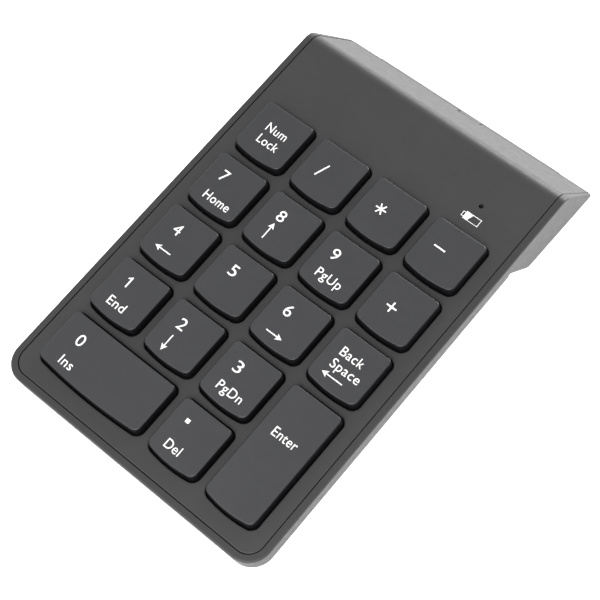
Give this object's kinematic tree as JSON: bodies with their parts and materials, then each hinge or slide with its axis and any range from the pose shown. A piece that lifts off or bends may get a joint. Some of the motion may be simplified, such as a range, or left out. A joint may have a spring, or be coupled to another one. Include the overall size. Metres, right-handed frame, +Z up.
{
  "type": "numeric keypad",
  "caption": "Wireless numeric keypad: a thin wedge case with a battery hump at the rear, low square keys in a four-column grid, a wide zero and a tall enter key.",
  "frame": {"origin": "Middle of the whole object's footprint, on the table that its feet stand on.", "axes": "+X to the user's right across the keys, +Y away from the user towards the battery hump, +Z up. The key deck leans 6 degrees, its rear edge higher."},
  "size_m": [0.086, 0.1384, 0.0199],
  "materials": {
    "cover_plastic": "fine matt texture, dark grey",
    "shell_plastic": "fine matt texture, dark grey",
    "key_plastic": "smooth matt, dark grey",
    "guide_plastic": "smooth matt, black",
    "switch_plastic": "smooth matt, black",
    "dome_silicone": "translucent grey silicone",
    "polyester_film": "thin clear film with printed tracks",
    "spring_steel": "bright drawn wire",
    "contact_nickel": "nickel plated sheet and wire",
    "board_laminate": "glossy green solder mask",
    "chip_black": "moulded black epoxy",
    "chip_parts": "small chip parts",
    "led_lens": "clear lens over a yellow die",
    "light_guide": "clear acrylic",
    "clamp_rubber": "black sponge rubber",
    "cell_jacket": "plain printed jacket over steel can",
    "foot_rubber": "soft matt rubber",
    "screw_steel": "black zinc plated"
  },
  "bodies": {
    "case": {"top_cover": "cover_plastic", "bottom_shell": "shell_plastic", "key_guide": "guide_plastic", "film_upper": "polyester_film", "film_spacer": "polyester_film", "film_lower": "polyester_film", "circuit_board": "board_laminate", "controller": "chip_black", "board_parts": "chip_parts", "status_led": "led_lens", "light_pipe": "light_guide", "tail_clamp": "clamp_rubber", "contact_positive": "contact_nickel", "contact_negative": "contact_nickel", "contact_bridge": "contact_nickel", "battery_cells": "cell_jacket", "switch_body": "switch_plastic", "feet_front": "foot_rubber", "feet_rear": "foot_rubber", "case_screws": "screw_steel", "dome_num_lock": "dome_silicone", "dome_divide": "dome_silicone", "dome_multiply": "dome_silicone", "dome_minus": "dome_silicone", "dome_7": "dome_silicone", "dome_8": "dome_silicone", "dome_9": "dome_silicone", "dome_plus": "dome_silicone", "dome_4": "dome_silicone", "dome_5": "dome_silicone", "dome_6": "dome_silicone", "dome_backspace": "dome_silicone", "dome_1": "dome_silicone", "dome_2": "dome_silicone", "dome_3": "dome_silicone", "dome_enter": "dome_silicone", "dome_0": "dome_silicone", "dome_point": "dome_silicone"},
    "key_num_lock_body": {"key_num_lock": "key_plastic"},
    "key_divide_body": {"key_divide": "key_plastic"},
    "key_multiply_body": {"key_multiply": "key_plastic"},
    "key_minus_body": {"key_minus": "key_plastic"},
    "key_7_body": {"key_7": "key_plastic"},
    "key_8_body": {"key_8": "key_plastic"},
    "key_9_body": {"key_9": "key_plastic"},
    "key_plus_body": {"key_plus": "key_plastic"},
    "key_4_body": {"key_4": "key_plastic"},
    "key_5_body": {"key_5": "key_plastic"},
    "key_6_body": {"key_6": "key_plastic"},
    "key_backspace_body": {"key_backspace": "key_plastic"},
    "key_1_body": {"key_1": "key_plastic"},
    "key_2_body": {"key_2": "key_plastic"},
    "key_3_body": {"key_3": "key_plastic"},
    "key_enter_body": {"key_enter": "key_plastic"},
    "key_0_body": {"key_0": "key_plastic"},
    "key_point_body": {"key_point": "key_plastic"},
    "stabiliser_0_body": {"stabiliser_0": "spring_steel"},
    "stabiliser_enter_body": {"stabiliser_enter": "spring_steel"},
    "door_body": {"battery_door": "shell_plastic"},
    "switch_knob_body": {"switch_knob": "switch_plastic"}
  },
  "joints": [
    {"name": "key_num_lock_press", "type": "slide", "parent": "case", "child": "key_num_lock_body", "axis": [0, 0.1045, -0.9945], "range_m": [0, 0.002], "stiffness_N_per_m": 260, "springref_m": -0.0005, "deforming": ["dome_num_lock"]},
    {"name": "key_divide_press", "type": "slide", "parent": "case", "child": "key_divide_body", "axis": [0, 0.1045, -0.9945], "range_m": [0, 0.002], "stiffness_N_per_m": 260, "springref_m": -0.0005, "deforming": ["dome_divide"]},
    {"name": "key_multiply_press", "type": "slide", "parent": "case", "child": "key_multiply_body", "axis": [0, 0.1045, -0.9945], "range_m": [0, 0.002], "stiffness_N_per_m": 260, "springref_m": -0.0005, "deforming": ["dome_multiply"]},
    {"name": "key_minus_press", "type": "slide", "parent": "case", "child": "key_minus_body", "axis": [0, 0.1045, -0.9945], "range_m": [0, 0.002], "stiffness_N_per_m": 260, "springref_m": -0.0005, "deforming": ["dome_minus"]},
    {"name": "key_7_press", "type": "slide", "parent": "case", "child": "key_7_body", "axis": [0, 0.1045, -0.9945], "range_m": [0, 0.002], "stiffness_N_per_m": 260, "springref_m": -0.0005, "deforming": ["dome_7"]},
    {"name": "key_8_press", "type": "slide", "parent": "case", "child": "key_8_body", "axis": [0, 0.1045, -0.9945], "range_m": [0, 0.002], "stiffness_N_per_m": 260, "springref_m": -0.0005, "deforming": ["dome_8"]},
    {"name": "key_9_press", "type": "slide", "parent": "case", "child": "key_9_body", "axis": [0, 0.1045, -0.9945], "range_m": [0, 0.002], "stiffness_N_per_m": 260, "springref_m": -0.0005, "deforming": ["dome_9"]},
    {"name": "key_plus_press", "type": "slide", "parent": "case", "child": "key_plus_body", "axis": [0, 0.1045, -0.9945], "range_m": [0, 0.002], "stiffness_N_per_m": 260, "springref_m": -0.0005, "deforming": ["dome_plus"]},
    {"name": "key_4_press", "type": "slide", "parent": "case", "child": "key_4_body", "axis": [0, 0.1045, -0.9945], "range_m": [0, 0.002], "stiffness_N_per_m": 260, "springref_m": -0.0005, "deforming": ["dome_4"]},
    {"name": "key_5_press", "type": "slide", "parent": "case", "child": "key_5_body", "axis": [0, 0.1045, -0.9945], "range_m": [0, 0.002], "stiffness_N_per_m": 260, "springref_m": -0.0005, "deforming": ["dome_5"]},
    {"name": "key_6_press", "type": "slide", "parent": "case", "child": "key_6_body", "axis": [0, 0.1045, -0.9945], "range_m": [0, 0.002], "stiffness_N_per_m": 260, "springref_m": -0.0005, "deforming": ["dome_6"]},
    {"name": "key_backspace_press", "type": "slide", "parent": "case", "child": "key_backspace_body", "axis": [0, 0.1045, -0.9945], "range_m": [0, 0.002], "stiffness_N_per_m": 260, "springref_m": -0.0005, "deforming": ["dome_backspace"]},
    {"name": "key_1_press", "type": "slide", "parent": "case", "child": "key_1_body", "axis": [0, 0.1045, -0.9945], "range_m": [0, 0.002], "stiffness_N_per_m": 260, "springref_m": -0.0005, "deforming": ["dome_1"]},
    {"name": "key_2_press", "type": "slide", "parent": "case", "child": "key_2_body", "axis": [0, 0.1045, -0.9945], "range_m": [0, 0.002], "stiffness_N_per_m": 260, "springref_m": -0.0005, "deforming": ["dome_2"]},
    {"name": "key_3_press", "type": "slide", "parent": "case", "child": "key_3_body", "axis": [0, 0.1045, -0.9945], "range_m": [0, 0.002], "stiffness_N_per_m": 260, "springref_m": -0.0005, "deforming": ["dome_3"]},
    {"name": "key_enter_press", "type": "slide", "parent": "case", "child": "key_enter_body", "axis": [0, 0.1045, -0.9945], "range_m": [0, 0.002], "stiffness_N_per_m": 260, "springref_m": -0.0005, "deforming": ["dome_enter"]},
    {"name": "key_0_press", "type": "slide", "parent": "case", "child": "key_0_body", "axis": [0, 0.1045, -0.9945], "range_m": [0, 0.002], "stiffness_N_per_m": 260, "springref_m": -0.0005, "deforming": ["dome_0"]},
    {"name": "key_point_press", "type": "slide", "parent": "case", "child": "key_point_body", "axis": [0, 0.1045, -0.9945], "range_m": [0, 0.002], "stiffness_N_per_m": 260, "springref_m": -0.0005, "deforming": ["dome_point"]},
    {"name": "stabiliser_0_turn", "type": "hinge", "parent": "case", "child": "stabiliser_0_body", "pos_m": [-0.019, -0.05381, 0.00673], "axis": [-1, 0, 0], "range_deg": [0, 19.25]},
    {"name": "stabiliser_enter_turn", "type": "hinge", "parent": "case", "child": "stabiliser_enter_body", "pos_m": [0.02842, -0.04445, 0.00771], "axis": [0, -0.9945, -0.1045], "range_deg": [0, 19.25]},
    {"name": "battery_door_slide", "type": "slide", "parent": "case", "child": "door_body", "axis": [0, 1, 0], "range_m": [0, 0.026]},
    {"name": "power_switch_slide", "type": "slide", "parent": "case", "child": "switch_knob_body", "axis": [0, 1, 0], "range_m": [0, 0.002]}
  ],
  "couplings": [
    {"joint": "stabiliser_0_turn", "follows": "key_0_press", "rad_per_m": 167.45},
    {"joint": "stabiliser_enter_turn", "follows": "key_enter_press", "rad_per_m": 167.45}
  ]
}
